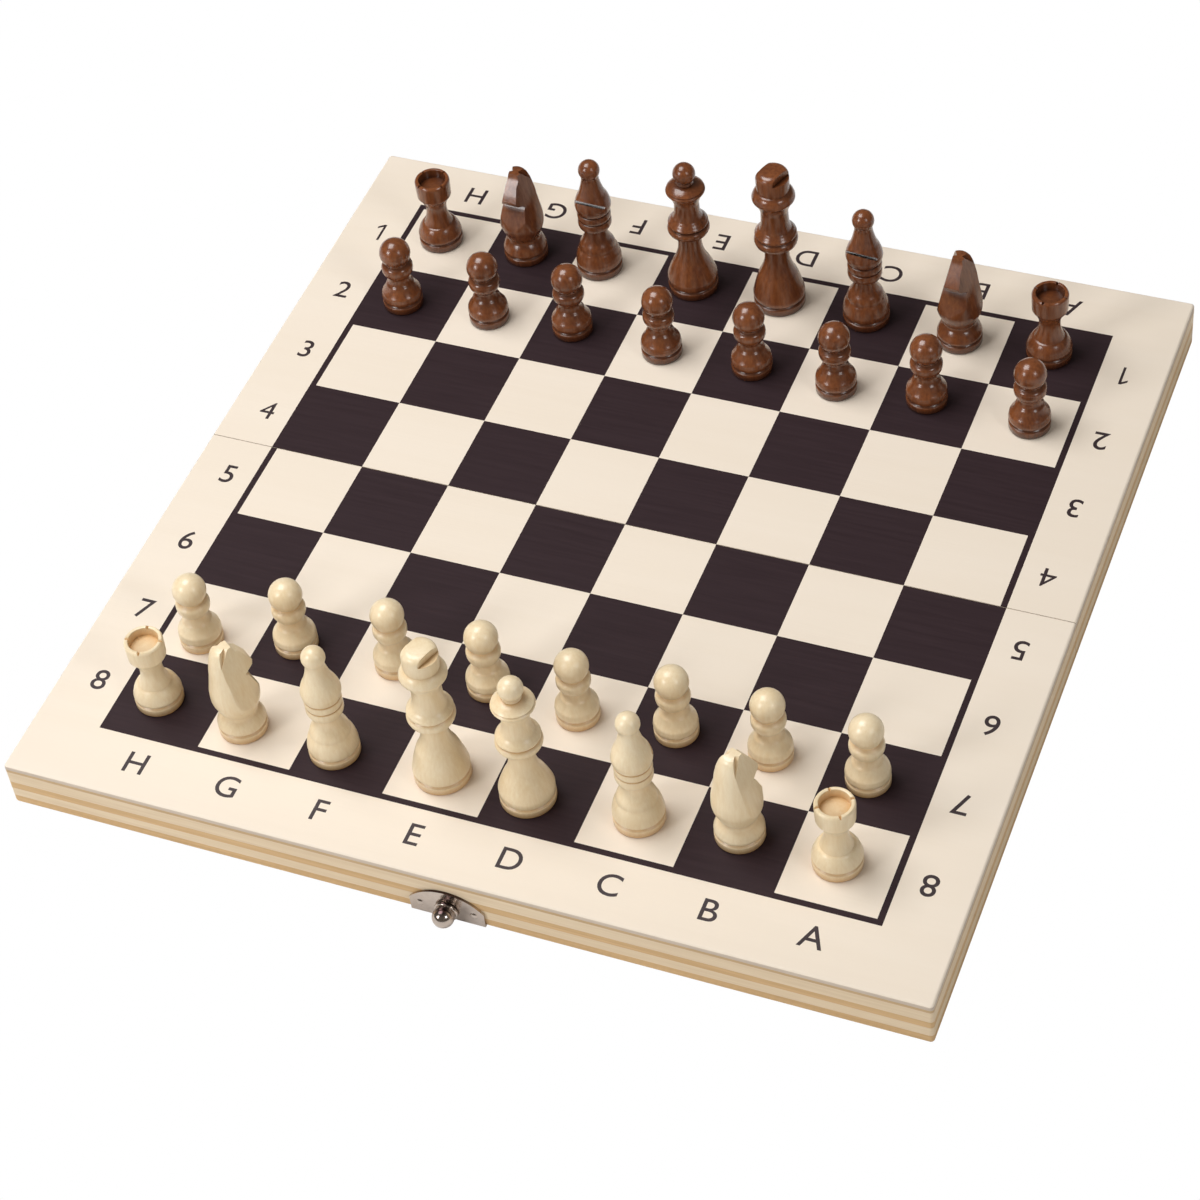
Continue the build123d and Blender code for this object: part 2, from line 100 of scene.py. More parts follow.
def seen_white(tree, plain, surface_input):
    """Show pure white to the camera and through glass, and the plain shader to everything else."""
    new = tree.nodes.new
    path = new("ShaderNodeLightPath")
    white = new("ShaderNodeBackground" if plain.type == "BACKGROUND" else "ShaderNodeEmission")
    white.inputs["Color"].default_value = (1, 1, 1, 1)
    white.inputs["Strength"].default_value = 1
    mixed = new("ShaderNodeMixShader")
    either = new("ShaderNodeMath")
    either.operation = "MAXIMUM"
    tree.links.new(path.outputs["Is Camera Ray"], either.inputs[0])
    tree.links.new(path.outputs["Is Transmission Ray"], either.inputs[1])
    tree.links.new(either.outputs[0], mixed.inputs[0])
    tree.links.new(plain.outputs[0], mixed.inputs[1])
    tree.links.new(white.outputs[0], mixed.inputs[2])
    tree.links.new(mixed.outputs[0], surface_input)


world = bpy.data.worlds.new("white room")
scene.world = world
world.use_nodes = True
room = world.node_tree.nodes["Background"]
room.inputs["Color"].default_value = (1, 0.90, 0.77, 1)
room.inputs["Strength"].default_value = 0.14
seen_white(world.node_tree, room, world.node_tree.nodes["World Output"].inputs["Surface"])


lamp_target = Vector((0, 0, 0.02))


def soft_lamp(name, place, size, watts, tint=(1, 1, 1)):
    """Square area lamp that looks at the middle of the board."""
    data = bpy.data.lights.new(name, "AREA")
    data.shape = "SQUARE"
    data.size = size
    data.energy = watts
    data.color = tint
    lamp = bpy.data.objects.new(name, data)
    lamp.location = place
    lamp.rotation_euler = (lamp_target - Vector(place)).to_track_quat("-Z", "Y").to_euler()
    scene.collection.objects.link(lamp)


soft_lamp("overhead lamp", (-0.45, 0.0, 1.15), 0.7, 11.1, (1, 0.99, 0.98))
soft_lamp("left lamp", (-0.7, -0.95, 0.72), 0.4, 5.5)
soft_lamp("right lamp", (1.0, -0.5, 0.8), 0.35, 2.6)


def floor_material():
    material = bpy.data.materials.new("white floor")
    material.use_nodes = True
    shader = material.node_tree.nodes["Principled BSDF"]
    shader.inputs["Base Color"].default_value = (0.9, 0.9, 0.9, 1)
    shader.inputs["Roughness"].default_value = 0.9
    output = material.node_tree.nodes["Material Output"]
    seen_white(material.node_tree, shader, output.inputs["Surface"])
    return material


floor_reach = 1.5
floor_level = cad_box[0][2]
corner_signs = ((-1, -1), (1, -1), (1, 1), (-1, 1))
floor_mesh = bpy.data.meshes.new("floor")
floor_mesh.from_pydata([(x * floor_reach, y * floor_reach, floor_level) for x, y in corner_signs], [], [(0, 1, 2, 3)])
floor_mesh.materials.append(floor_material())
floor = bpy.data.objects.new("floor", floor_mesh)
scene.collection.objects.link(floor)
print("floor at", round(floor_level / mm, 2), "mm")

# %% [markdown]
# Every wooden surface here shows the same thing at different strengths: long fibres and a slow drift of
# colour. That is one shader group, fed with a stretched position, so the board, the rails and the men share
# it, and each sets its own scale and contrast.

# %% Wood figure, shared by every wooden material


def add(tree, kind, **settings):
    """New node with its settings, where a name that isn't an attribute is an input's value."""
    node = tree.nodes.new(kind)
    for key, value in settings.items():
        if hasattr(node, key):
            setattr(node, key, value)
        else:
            node.inputs[key.replace("_", " ")].default_value = value
    return node


def join(tree, output, socket):
    tree.links.new(output, socket)


def math(tree, operation, a, b=None, c=None):
    """Math node on up to three sockets or numbers, returning its output."""
    node = add(tree, "ShaderNodeMath", operation=operation)
    for index, value in enumerate((a, b, c)):
        if value is None:
            continue
        if isinstance(value, (int, float)):
            node.inputs[index].default_value = value
        else:
            join(tree, value, node.inputs[index])
    return node.outputs[0]


def mix_colour(tree, factor, a, b):
    """Mix of two colours, each a socket or a tuple."""
    node = add(tree, "ShaderNodeMix", data_type="RGBA")
    for index, value in ((0, factor), (6, a), (7, b)):
        if isinstance(value, (int, float)):
            node.inputs[index].default_value = value
        elif isinstance(value, tuple):
            node.inputs[index].default_value = (*value, 1)
        else:
            join(tree, value, node.inputs[index])
    return node.outputs[2]


def shader_group(name, inputs, outputs):
    """Empty node group with float or vector inputs and named outputs."""
    tree = bpy.data.node_groups.new(name, "ShaderNodeTree")
    for key, default in inputs.items():
        kind = "NodeSocketVector" if default is None else "NodeSocketFloat"
        socket = tree.interface.new_socket(key, in_out="INPUT", socket_type=kind)
        if default is not None:
            socket.default_value = default
    for key in outputs:
        tree.interface.new_socket(key, in_out="OUTPUT", socket_type="NodeSocketFloat")
    return tree, tree.nodes.new("NodeGroupInput"), tree.nodes.new("NodeGroupOutput")


def wood_figure():
    """Fibres and a cloudy drift, from a position whose third axis runs along the grain."""
    tree, given, result = shader_group(
        "wood figure", {"Position": None, "Fibre Scale": 900.0, "Stretch": 0.04}, ["Fibre", "Drift"]
    )
    stretch = add(tree, "ShaderNodeCombineXYZ", X=1.0, Y=1.0)
    join(tree, given.outputs["Stretch"], stretch.inputs["Z"])
    long = add(tree, "ShaderNodeVectorMath", operation="MULTIPLY")
    join(tree, given.outputs["Position"], long.inputs[0])
    join(tree, stretch.outputs[0], long.inputs[1])
    fibre = add(tree, "ShaderNodeTexNoise", Detail=4.0, Roughness=0.6, Distortion=0.3)
    join(tree, long.outputs[0], fibre.inputs["Vector"])
    join(tree, given.outputs["Fibre Scale"], fibre.inputs["Scale"])
    drift = add(tree, "ShaderNodeTexNoise", Detail=2.0, Roughness=0.5, Distortion=0.6)
    join(tree, long.outputs[0], drift.inputs["Vector"])
    join(tree, math(tree, "MULTIPLY", given.outputs["Fibre Scale"], 0.12), drift.inputs["Scale"])
    join(tree, fibre.outputs["Fac"], result.inputs["Fibre"])
    join(tree, drift.outputs["Fac"], result.inputs["Drift"])
    return tree


figure_group = wood_figure()
print("shader group:", figure_group.name)

# %% [markdown]
# A position along the grain: the group wants its third axis along the fibres, so each material turns its
# object coordinates with a Mapping node first. Sheets of ply run along the fold, the men stand on end grain.

# %% Shared parts of the materials


def new_material(name):
    """New material with its node tree and its shader."""
    material = bpy.data.materials.new(name)
    material.use_nodes = True
    tree = material.node_tree
    return material, tree, tree.nodes["Principled BSDF"]


def figure(tree, turn, scale, stretch):
    """Object coordinates, and the wood figure on them once they are turned along the grain."""
    place = add(tree, "ShaderNodeTexCoord")
    mapping = add(tree, "ShaderNodeMapping")
    mapping.inputs["Rotation"].default_value = [radians(angle) for angle in turn]
    join(tree, place.outputs["Object"], mapping.inputs["Vector"])
    group = add(tree, "ShaderNodeGroup", node_tree=figure_group)
    group.inputs["Fibre Scale"].default_value = scale
    group.inputs["Stretch"].default_value = stretch
    join(tree, mapping.outputs[0], group.inputs["Position"])
    return place, group


def bump(tree, shader, height, distance):
    node = add(tree, "ShaderNodeBump", Strength=1.0, Distance=distance)
    join(tree, height, node.inputs["Height"])
    join(tree, node.outputs[0], shader.inputs["Normal"])


# %% [markdown]
# The playing surface is a sheet of pale ply with the squares, a border line and letters printed on it in
# a brown-black ink that lets the grain show faintly. The squares come from the position: a square is dark where
# the sum of its column and row numbers is even. The ink lies on the top face only. The sheet's sawn edge shows
# a grey layer over a tan one.

# %% Printed board
square = 30.25 * mm
line_width = 2.0 * mm
half_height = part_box("near_panel")[1].z
print_level = half_height - 0.15 * mm
sawn_level = half_height - 0.4 * mm
tan_level = half_height - 1.6 * mm
ink_dark = (0.024, 0.013, 0.016)
ink_light = (0.044, 0.026, 0.031)
birch_light = (0.92, 0.83, 0.72)
birch_dark = (0.875, 0.775, 0.65)


def printed_board():
    material, tree, shader = new_material("printed board")
    place, wood = figure(tree, (0, 90, 0), 700, 0.05)
    axes = add(tree, "ShaderNodeSeparateXYZ")
    join(tree, place.outputs["Object"], axes.inputs[0])
    x, y, z = axes.outputs
    column = math(tree, "FLOOR", math(tree, "DIVIDE", x, square))
    row = math(tree, "FLOOR", math(tree, "DIVIDE", y, square))
    odd = math(tree, "FLOORED_MODULO", math(tree, "ADD", column, row), 2.0)
    even = math(tree, "SUBTRACT", 1.0, odd)
    reach = math(tree, "MAXIMUM", math(tree, "ABSOLUTE", x), math(tree, "ABSOLUTE", y))
    inside = math(tree, "LESS_THAN", reach, 4 * square)
    line = math(tree, "SUBTRACT", math(tree, "LESS_THAN", reach, 4 * square + line_width), inside)
    top = math(tree, "GREATER_THAN", z, print_level)
    ink = math(tree, "MULTIPLY", math(tree, "ADD", math(tree, "MULTIPLY", even, inside), line), top)
    bare = mix_colour(tree, wood.outputs["Drift"], birch_light, birch_dark)
    printed = mix_colour(tree, wood.outputs["Fibre"], ink_dark, ink_light)
    face = mix_colour(tree, ink, bare, printed)
    sawn = math(tree, "LESS_THAN", z, sawn_level)
    grey = mix_colour(tree, wood.outputs["Fibre"], (0.56, 0.47, 0.39), (0.78, 0.67, 0.56))
    tan = mix_colour(tree, wood.outputs["Fibre"], (0.52, 0.35, 0.18), (0.74, 0.54, 0.32))
    low_band = math(tree, "LESS_THAN", z, tan_level)
    join(tree, mix_colour(tree, sawn, face, mix_colour(tree, low_band, grey, tan)), shader.inputs["Base Color"])
    join(tree, math(tree, "MULTIPLY_ADD", wood.outputs["Fibre"], 0.15, 0.42), shader.inputs["Roughness"])
    shader.inputs["Specular IOR Level"].default_value = 0.15
    bump(tree, shader, wood.outputs["Fibre"], 0.00004)
    return material


board_material = printed_board()

# %% [markdown]
# The rails are sawn from ply, so their faces show its layers edge on: tan and pale bands of uneven
# thickness that run round the whole box at the same heights.

# %% Banded rails
band_tops = [3.4 * mm, 7.0 * mm, 9.8 * mm, 14.3 * mm]


def striped_ply():
    material, tree, shader = new_material("striped ply")
    place, wood = figure(tree, (0, 90, 0), 900, 0.03)
    axes = add(tree, "ShaderNodeSeparateXYZ")
    join(tree, place.outputs["Object"], axes.inputs[0])
    wave = math(tree, "MULTIPLY", math(tree, "SUBTRACT", wood.outputs["Drift"], 0.5), 0.6 * mm)
    height = math(tree, "ADD", axes.outputs["Z"], wave)
    passed = 0.0
    for top in band_tops:
        passed = math(tree, "ADD", math(tree, "GREATER_THAN", height, top), passed)
    pale = math(tree, "FLOORED_MODULO", passed, 2.0)
    tan = mix_colour(tree, wood.outputs["Fibre"], (0.56, 0.34, 0.14), (0.84, 0.58, 0.30))
    cream = mix_colour(tree, wood.outputs["Fibre"], (0.72, 0.54, 0.34), (0.94, 0.79, 0.58))
    join(tree, mix_colour(tree, pale, tan, cream), shader.inputs["Base Color"])
    shader.inputs["Roughness"].default_value = 0.55
    bump(tree, shader, wood.outputs["Fibre"], 0.00006)
    return material


ply_material = striped_ply()


def dress(node, material):
    """Give a carried-over node one material."""
    mesh = nodes[node].data
    mesh.materials.clear()
    mesh.materials.append(material)


for name in nodes:
    if name.endswith("_panel"):
        dress(name, board_material)
    elif name.endswith("_rail"):
        dress(name, ply_material)
print("board and rails dressed")

# %% [markdown]
# The letters and numbers are printed outside the line: letters along the near and far edges, numbers up
# both sides, each set facing the player who sits there. Ink has almost no thickness, so each is a real text
# shape, two hundredths of a millimetre thick, on the surface.

# %% Letters and numbers
letter_height = 8.0 * mm
stroke = 0.85 * mm
ink_thickness = 0.02 * mm
letter_row = 132.2 * mm
number_column = 131.5 * mm
capital_share = 0.73


def ink_material():
    material, tree, shader = new_material("letter ink")
    wood = figure(tree, (0, 90, 0), 700, 0.05)[1]
    join(tree, mix_colour(tree, wood.outputs["Fibre"], ink_dark, ink_light), shader.inputs["Base Color"])
    shader.inputs["Roughness"].default_value = 0.45
    return material


letter_ink = ink_material()


def flagged_one():
    """The figure one as an upright stroke with a flag, drawn flat and then given the ink's thickness."""
    half, top, flag = stroke / 2, letter_height / 2, 1.9 * mm
    tip = top - flag * 0.72
    outline = [(-half, -top), (half, -top), (half, top), (-half, top)]
    outline += [(-half - flag, tip), (-half - flag, tip - stroke * 1.15), (-half, top - stroke * 1.3)]
    count = len(outline)
    corners = [(x, y, z) for z in (-ink_thickness / 2, ink_thickness / 2) for x, y in outline]
    faces = [tuple(reversed(range(count))), tuple(range(count, 2 * count))]
    faces += [(i, (i + 1) % count, count + (i + 1) % count, count + i) for i in range(count)]
    mesh = bpy.data.meshes.new("one")
    mesh.from_pydata(corners, [], faces)
    return mesh


def sign_mesh(sign):
    """Mesh of one printed sign, about its own middle."""
    if sign == "1":
        return flagged_one()
    curve = bpy.data.curves.new("text", "FONT")
    curve.body = sign
    curve.align_x = "CENTER"
    curve.align_y = "CENTER"
    curve.size = letter_height / capital_share
    # The 4 has a small window that a heavier stroke would fill.
    curve.offset = 0.0 if sign == "4" else 0.05 * mm
    curve.extrude = ink_thickness / 2
    curve.resolution_u = 6
    text = bpy.data.objects.new("text", curve)
    scene.collection.objects.link(text)
    mesh = bpy.data.meshes.new_from_object(text.evaluated_get(bpy.context.evaluated_depsgraph_get()))
    bpy.data.objects.remove(text)
    return mesh


def printed_sign(sign, x, y, turned, body):
    """One letter or number lying on the board, as a thin mesh."""
    mesh = sign_mesh(sign)
    across = [vertex.co.x for vertex in mesh.vertices]
    along = [vertex.co.y for vertex in mesh.vertices]
    middle = Vector(((min(across) + max(across)) / 2, (min(along) + max(along)) / 2, 0))
    placed = Matrix.Translation((x, y, half_height + ink_thickness / 2)) @ Matrix.Rotation(pi * turned, 4, "Z")
    mesh.transform(placed @ Matrix.Translation(-middle))
    mesh.materials.clear()
    mesh.materials.append(letter_ink)
    piece = bpy.data.objects.new(f"print_{sign}_{round(x / mm)}_{round(y / mm)}", mesh)
    scene.collection.objects.link(piece)
    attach(piece, body)


for index, sign in enumerate("HGFEDCBA"):
    across = (index - 3.5) * square
    printed_sign(sign, across, -letter_row, 0, "near_half")
    printed_sign(sign, across, letter_row, 1, "far_half")
for index, sign in enumerate("12345678"):
    up = (3.5 - index) * square
    body = "far_half" if up > 0 else "near_half"
    printed_sign(sign, -number_column, up, 0, body)
    printed_sign(sign, number_column, up, 1, body)
print("letters and numbers printed")

# %% [markdown]
# The latch, the keeper and the hinges are thin steel, nickel-plated. Plated sheet is never quite flat or even:
# its tone and reflections wobble, and faces that look up get a painted dark reflection of a dim room above.

# %% Nickel plate
plated_low = (0.44, 0.375, 0.33)
plated_high = (0.60, 0.525, 0.47)
# Painted reflection: the dark colour given to faces that look up, standing in for the dim room they would mirror.
painted_dark_reflection = (0.07, 0.045, 0.045)


def nickel_plate():
    material, tree, shader = new_material("nickel plate")
    place = add(tree, "ShaderNodeTexCoord")
    cloud = add(tree, "ShaderNodeTexNoise", Scale=420.0, Detail=3.0)
    join(tree, place.outputs["Object"], cloud.inputs["Vector"])
    plated_colour = mix_colour(tree, cloud.outputs["Fac"], plated_low, plated_high)
    facing_up = add(tree, "ShaderNodeSeparateXYZ")
    join(tree, place.outputs["Normal"], facing_up.inputs[0])
    # Painted reflection: faces whose normal points nearly straight up are mixed towards the dark colour.
    painted_reflection_mask = add(tree, "ShaderNodeMapRange", From_Min=0.75, From_Max=0.95)
    join(tree, facing_up.outputs["Z"], painted_reflection_mask.inputs["Value"])
    join(tree, mix_colour(tree, painted_reflection_mask.outputs[0], plated_colour, painted_dark_reflection), shader.inputs["Base Color"])
    shader.inputs["Metallic"].default_value = 1.0
    rough = add(tree, "ShaderNodeMapRange", To_Min=0.12, To_Max=0.26)
    join(tree, cloud.outputs["Fac"], rough.inputs["Value"])
    join(tree, rough.outputs[0], shader.inputs["Roughness"])
    bump(tree, shader, cloud.outputs["Fac"], 0.00005)
    return material


nickel = nickel_plate()
metal_words = ("hinge", "latch", "keeper")
metal_nodes = [name for name in nodes if any(word in name for word in metal_words)]
for name in metal_nodes:
    dress(name, nickel)
print(len(metal_nodes), "metal nodes")

# %% [markdown]
# The men come off a lathe: an outline turned about an axis. A lathe is a Geometry Nodes tree here. It
# takes the outline's points, makes a grid with one row for each point and one column for each step of the turn,
# and bends the grid round the axis. One tree turns all the kinds, and only the outline differs.

# %% A lathe in Geometry Nodes
turn_steps = 56


def lathe_tree():
    tree = bpy.data.node_groups.new("lathe", "GeometryNodeTree")
    tree.interface.new_socket("Geometry", in_out="INPUT", socket_type="NodeSocketGeometry")
    steps = tree.interface.new_socket("Steps", in_out="INPUT", socket_type="NodeSocketInt")
    steps.default_value = turn_steps
    tree.interface.new_socket("Material", in_out="INPUT", socket_type="NodeSocketMaterial")
    tree.interface.new_socket("Geometry", in_out="OUTPUT", socket_type="NodeSocketGeometry")
    given = tree.nodes.new("NodeGroupInput")
    result = tree.nodes.new("NodeGroupOutput")
    size = add(tree, "GeometryNodeAttributeDomainSize", component="MESH")
    join(tree, given.outputs["Geometry"], size.inputs[0])
    columns = math(tree, "ADD", given.outputs["Steps"], 1.0)
    grid = add(tree, "GeometryNodeMeshGrid")
    join(tree, size.outputs["Point Count"], grid.inputs["Vertices X"])
    join(tree, columns, grid.inputs["Vertices Y"])
    number = tree.nodes.new("GeometryNodeInputIndex").outputs[0]
    row = math(tree, "FLOOR", math(tree, "DIVIDE", math(tree, "ADD", number, 0.5), columns))
    column = math(tree, "SUBTRACT", number, math(tree, "MULTIPLY", row, columns))
    angle = math(tree, "DIVIDE", math(tree, "MULTIPLY", column, 2 * pi), given.outputs["Steps"])
    outline = add(tree, "GeometryNodeSampleIndex", data_type="FLOAT_VECTOR")
    join(tree, given.outputs["Geometry"], outline.inputs["Geometry"])
    join(tree, tree.nodes.new("GeometryNodeInputPosition").outputs[0], outline.inputs["Value"])
    join(tree, row, outline.inputs["Index"])
    parts = add(tree, "ShaderNodeSeparateXYZ")
    join(tree, outline.outputs["Value"], parts.inputs[0])
    bent = add(tree, "ShaderNodeCombineXYZ")
    join(tree, math(tree, "MULTIPLY", parts.outputs["X"], math(tree, "COSINE", angle)), bent.inputs["X"])
    join(tree, math(tree, "MULTIPLY", parts.outputs["X"], math(tree, "SINE", angle)), bent.inputs["Y"])
    join(tree, parts.outputs["Z"], bent.inputs["Z"])
    place = add(tree, "GeometryNodeSetPosition")
    join(tree, grid.outputs["Mesh"], place.inputs["Geometry"])
    join(tree, bent.outputs[0], place.inputs["Position"])
    seam = add(tree, "GeometryNodeMergeByDistance", Distance=0.002 * mm)
    join(tree, place.outputs["Geometry"], seam.inputs["Geometry"])
    real = add(tree, "GeometryNodeRealizeInstances")
    join(tree, seam.outputs["Geometry"], real.inputs["Geometry"])
    finish = add(tree, "GeometryNodeSetMaterial")
    join(tree, real.outputs["Geometry"], finish.inputs["Geometry"])
    join(tree, given.outputs["Material"], finish.inputs["Material"])
    join(tree, finish.outputs["Geometry"], result.inputs["Geometry"])
    return tree


lathe = lathe_tree()


def socket_id(tree, name):
    """Identifier of a tree's input, which is what a modifier is set by."""
    for item in tree.interface.items_tree:
        if item.in_out == "INPUT" and item.name == name:
            return item.identifier
    raise KeyError(name)


print("lathe inputs:", [item.name for item in lathe.interface.items_tree if item.in_out == "INPUT"])

# %% [markdown]
# An outline is a list of steps, each a radius, a height and a bow. The bow says how far the run to that
# step swells outwards, or with a minus sign hollows inwards, as a gouge leaves it. A ball on top is one more arc.

# %% Outlines for the lathe
arc_step = 0.35


def arc_between(start, end, bow):
    """Points after the start along a circular arc whose middle lies bow millimetres off the chord."""
    chord = end - start
    length = chord.length
    if abs(bow) < 1e-6:
        return [end]
    radius = (length**2 / 4 + bow**2) / (2 * abs(bow))
    half = asin(min(1.0, length / (2 * radius)))
    count = max(3, round(2 * half * radius / arc_step))
    outward = Vector((chord.y, -chord.x)) / length * (1 if bow > 0 else -1)
    centre = (start + end) / 2 - outward * (radius - abs(bow))
    points = []
    for index in range(1, count + 1):
        angle = half * (2 * index / count - 1)
        points.append(centre + outward * radius * cos(angle) + chord / length * radius * sin(angle))
    return points


def outline_points(steps, ball_radius=0.0):
    """The whole outline from the axis at the foot to the axis at the top, in millimetres."""
    points = [Vector((0, 0))]
    for radius, height, bow in steps:
        points += arc_between(points[-1], Vector((radius, height)), bow)
    if ball_radius:
        neck = points[-1]
        centre = neck.y + (ball_radius**2 - neck.x**2) ** 0.5
        start = -asin((centre - neck.y) / ball_radius)
        count = round((pi / 2 - start) * ball_radius / arc_step)
        for index in range(1, count + 1):
            angle = start + (pi / 2 - start) * index / count
            points.append(Vector((ball_radius * cos(angle), centre + ball_radius * sin(angle))))
    if points[-1].x > 0.01:
        points.append(Vector((0, points[-1].y)))
    else:
        points[-1].x = 0.0
    return points


def turned_mesh(name, points, material):
    """Turn an outline on the lathe and return its closed mesh, in metres."""
    line = bpy.data.meshes.new("outline")
    line.from_pydata([(p.x * mm, 0, p.y * mm) for p in points], [(i, i + 1) for i in range(len(points) - 1)], [])
    holder = bpy.data.objects.new(name, line)
    scene.collection.objects.link(holder)
    modifier = holder.modifiers.new("lathe", "NODES")
    modifier.node_group = lathe
    modifier[socket_id(lathe, "Steps")] = turn_steps
    modifier[socket_id(lathe, "Material")] = material
    mesh = bpy.data.meshes.new_from_object(holder.evaluated_get(bpy.context.evaluated_depsgraph_get()))
    bpy.data.objects.remove(holder)
    work = bmesh.new()
    work.from_mesh(mesh)
    bmesh.ops.recalc_face_normals(work, faces=work.faces)
    if work.calc_volume(signed=True) < 0:
        bmesh.ops.reverse_faces(work, faces=work.faces)
    work.to_mesh(mesh)
    work.free()
    return mesh


# %% [markdown]
# The templates below follow the solids the men stand in for: steps of radius, height and bow from just
# above the foot upwards. All the men share a banded foot with a groove.

# %% Outlines of the men
foot_band = 2.8
foot_round = 0.5
groove_depth = 0.7
groove_floor = 0.3
groove_width = 1.2


def foot(radius):
    """Steps of the foot, from its lower edge to just above its groove."""
    groove_low = foot_band + (groove_width - groove_floor) / 2
    return [
        (radius - foot_round, 0, 0),
        (radius, foot_round, foot_round * 0.2),
        (radius, foot_band - 0.3, 0),
        (radius - 0.2, foot_band, 0.06),
        (radius - groove_depth, groove_low, -0.03),
        (radius - groove_depth, groove_low + groove_floor, 0),
        (radius - 0.2, foot_band + groove_width - 0.1, 0),
        (radius - foot_round * 0.1, foot_band + groove_width + 0.1, 0.04),
    ]


def balled(foot_radius, template, ball_radius, height):
    """Outline of a man that ends in a ball, whose top is at a given height."""
    neck = template[-1][0]
    seat = height - ball_radius - (ball_radius**2 - neck**2) ** 0.5
    return outline_points([*foot(foot_radius), *template, (neck, seat, 0)], ball_radius)


def pawn_outline():
    template = [
        (6.6, 5.6, 0.1),
        (6.1, 6.9, 0.15),
        (4.6, 9.8, -0.1),
        (3.45, 12.2, -0.3),
        (3.45, 12.8, 0),
        (4.2, 13.6, -0.1),
        (5.25, 16.6, 0.35),
        (4.4, 18.3, 0.3),
        (3.9, 18.7, 0),
    ]
    return balled(6.75, template, 5.2, 27.7)


def rook_outline():
    steps = [
        *foot(7.45),
        (7.2, 5.2, 0.1),
        (5.5, 8.6, 0.25),
        (4.9, 8.9, 0),
        (3.5, 14.0, -0.25),
        (3.5, 16.0, 0),
        (5.5, 20.3, -0.2),
        (5.8, 21.0, 0.1),
        (5.95, 26.2, 0),
        (5.5, 27.2, 0.15),
        (4.8, 27.2, 0),
        (4.6, 26.9, 0.07),
        (4.45, 24.2, 0),
        (0, 24.2, 0),
    ]
    return outline_points(steps)


def bishop_outline():
    template = [
        (7.5, 6.2, 0.1),
        (6.5, 9.4, 0.15),
        (6.1, 9.9, 0),
        (5.2, 12.8, 0.25),
        (3.9, 15.8, -0.15),
        (3.7, 17.9, 0),
        (4.9, 18.9, -0.1),
        (5.5, 19.6, 0.1),
        (5.5, 22.2, 0.2),
        (5.0, 22.5, 0),
        (5.5, 22.8, 0),
        (5.5, 25.2, 0.2),
        (5.0, 25.5, 0),
        (5.6, 25.9, 0),
        (6.1, 28.4, 0.1),
        (4.5, 33.0, 0.25),
        (2.95, 38.8, -0.15),
    ]
    return balled(7.75, template, 3.6, 46.0)


def queen_outline():
    template = [
        (8.35, 6.0, 0),
        (6.2, 11.6, 0.1),
        (4.7, 15.0, -0.1),
        (4.0, 18.5, -0.1),
        (3.8, 23.0, 0),
        (6.4, 24.8, -0.3),
        (6.7, 25.2, 0.1),
        (6.6, 27.3, 0.4),
        (5.9, 27.7, 0),
        (6.4, 28.1, 0),
        (6.3, 29.3, 0.35),
        (5.0, 30.9, 0.1),
        (4.2, 34.6, -0.25),
        (4.1, 36.6, 0),
        (6.3, 41.6, -0.25),
        (6.5, 42.3, 0.1),
        (6.1, 42.7, 0),
        (6.2, 43.1, 0),
        (2.7, 44.9, 0.3),
        (2.9, 45.3, 0.1),
        (2.6, 45.7, 0),
    ]
    return balled(8.4, template, 3.75, 52.4)


def king_outline():
    steps = [
        *foot(8.6),
        (8.5, 5.6, 0.1),
        (6.4, 13.0, 0.1),
        (4.7, 17.0, -0.1),
        (4.1, 20.0, -0.1),
        (3.9, 24.4, 0),
        (6.7, 26.2, -0.3),
        (6.9, 26.6, 0.1),
        (6.8, 28.9, 0.4),
        (6.4, 29.25, 0),
        (6.7, 29.6, 0),
        (6.5, 30.9, 0.35),
        (5.3, 32.3, 0.1),
        (4.6, 36.0, -0.2),
        (4.5, 39.4, 0),
        (6.85, 44.7, -0.3),
        (7.05, 45.4, 0.1),
        (6.9, 46.2, 0.1),
        (5.3, 48.4, 0.3),
        (5.4, 53.84, 0.11),
        (4.43, 55.57, 0.27),
        (3.24, 56.0, 0.05),
    ]
    return outline_points(steps)


knight_base = [
    *foot(7.45),
    (7.1, 5.4, 0.1),
    (5.5, 8.2, 0.2),
    (5.3, 9.2, 0),
    (7.2, 13.8, 0.1),
    (7.4, 17.0, 0.15),
]


def knight_outline():
    """The thick turning that the head is cut from."""
    return outline_points([*knight_base, (7.4, 36.8, 0)])


def mane_outline():
    """The tapered turning that shapes the back of the neck."""
    mane = [
        (7.1, 20.0, 0.1),
        (6.1, 25.6, 0),
        (5.4, 30.0, 0.1),
        (4.2, 34.4, 0.15),
        (2.4, 36.5, 0.3),
        (1.2, 36.8, 0.1),
    ]
    return outline_points([*knight_base, *mane])


# %% [markdown]
# After turning, some of the men are cut: the rook's four nicks, the bishop's slanted saw cut, the king's
# two steps and the knight's whole head. Each cut is a solid taken away with a Boolean modifier. The knight is
# turned twice, once thick for its muzzle and once tapered for its mane, and the tapered one sets its back. Its
# cheeks are flat and close in upwards and towards the nose, and a groove down each sets off the ear.

# %% Cuts
cutter_reach = 22


def mesh_from(corners, faces):
    """Closed mesh from corners in millimetres, with its faces looking outwards."""
    mesh = bpy.data.meshes.new("cutter")
    mesh.from_pydata([[value * mm for value in corner] for corner in corners], [], faces)
    work = bmesh.new()
    work.from_mesh(mesh)
    bmesh.ops.recalc_face_normals(work, faces=work.faces)
    work.to_mesh(mesh)
    work.free()
    return mesh


def block(low, high):
    """Box mesh from corner to corner."""
    corners = [(x, y, z) for x in (low[0], high[0]) for y in (low[1], high[1]) for z in (low[2], high[2])]
    return mesh_from(corners, [(0, 1, 3, 2), (4, 5, 7, 6), (0, 1, 5, 4), (2, 3, 7, 6), (0, 2, 6, 4), (1, 3, 7, 5)])


